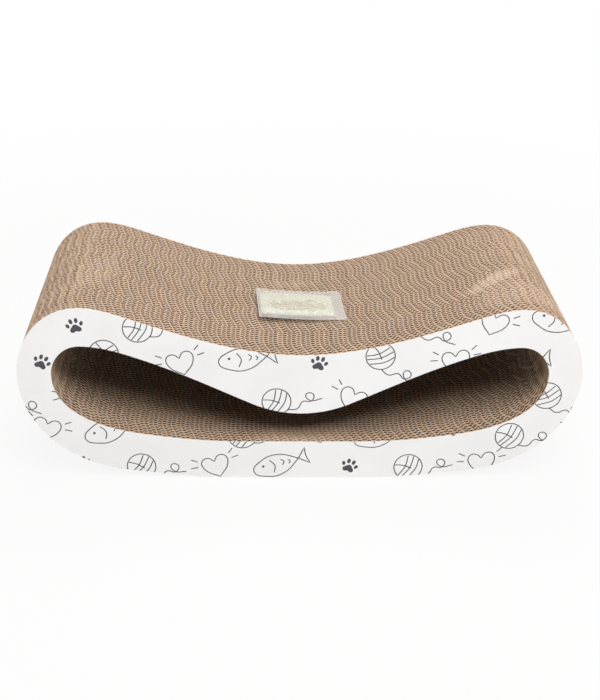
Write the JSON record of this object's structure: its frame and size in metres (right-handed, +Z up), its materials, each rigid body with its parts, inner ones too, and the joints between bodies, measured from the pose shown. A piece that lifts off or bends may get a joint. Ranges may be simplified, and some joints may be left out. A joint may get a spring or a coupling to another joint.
{
  "type": "cardboard cat scratcher",
  "caption": "Saddle-shaped corrugated cardboard cat scratcher with rounded ends, a tunnel through it, white covers and a loose catnip packet lying on top.",
  "frame": {"origin": "on the surface that the scratcher stands on, under its middle", "axes": "+X along the scratcher, +Y from the front cover through the stack of boards to the back cover, +Z up"},
  "size_m": [0.47, 0.206, 0.1575],
  "materials": {
    "kraft_board": "matt brown corrugated board, its cut flute ends showing",
    "white_cover": null,
    "packet_film": "clear, slightly milky heat-sealed film",
    "dried_catnip": "loose dried leaf and stem"
  },
  "bodies": {
    "scratcher": {"front_cover": "white_cover", "board_01": "kraft_board", "board_02": "kraft_board", "board_03": "kraft_board", "board_04": "kraft_board", "board_05": "kraft_board", "board_06": "kraft_board", "board_07": "kraft_board", "board_08": "kraft_board", "board_09": "kraft_board", "board_10": "kraft_board", "board_11": "kraft_board", "board_12": "kraft_board", "board_13": "kraft_board", "board_14": "kraft_board", "board_15": "kraft_board", "board_16": "kraft_board", "board_17": "kraft_board", "board_18": "kraft_board", "board_19": "kraft_board", "board_20": "kraft_board", "board_21": "kraft_board", "board_22": "kraft_board", "board_23": "kraft_board", "board_24": "kraft_board", "board_25": "kraft_board", "board_26": "kraft_board", "board_27": "kraft_board", "board_28": "kraft_board", "board_29": "kraft_board", "board_30": "kraft_board", "board_31": "kraft_board", "board_32": "kraft_board", "board_33": "kraft_board", "board_34": "kraft_board", "board_35": "kraft_board", "board_36": "kraft_board", "board_37": "kraft_board", "board_38": "kraft_board", "board_39": "kraft_board", "board_40": "kraft_board", "board_41": "kraft_board", "board_42": "kraft_board", "board_43": "kraft_board", "board_44": "kraft_board", "board_45": "kraft_board", "board_46": "kraft_board", "board_47": "kraft_board", "board_48": "kraft_board", "board_49": "kraft_board", "board_50": "kraft_board", "board_51": "kraft_board", "back_cover": "white_cover"},
    "packet": {"packet_bottom_film": "packet_film", "catnip_filling": "dried_catnip", "packet_top_film": "packet_film"}
  },
  "joints": [
    {"name": "packet_lift", "type": "slide", "parent": "scratcher", "child": "packet", "axis": [0, 0, 1], "range_m": [0, 0.08]}
  ]
}
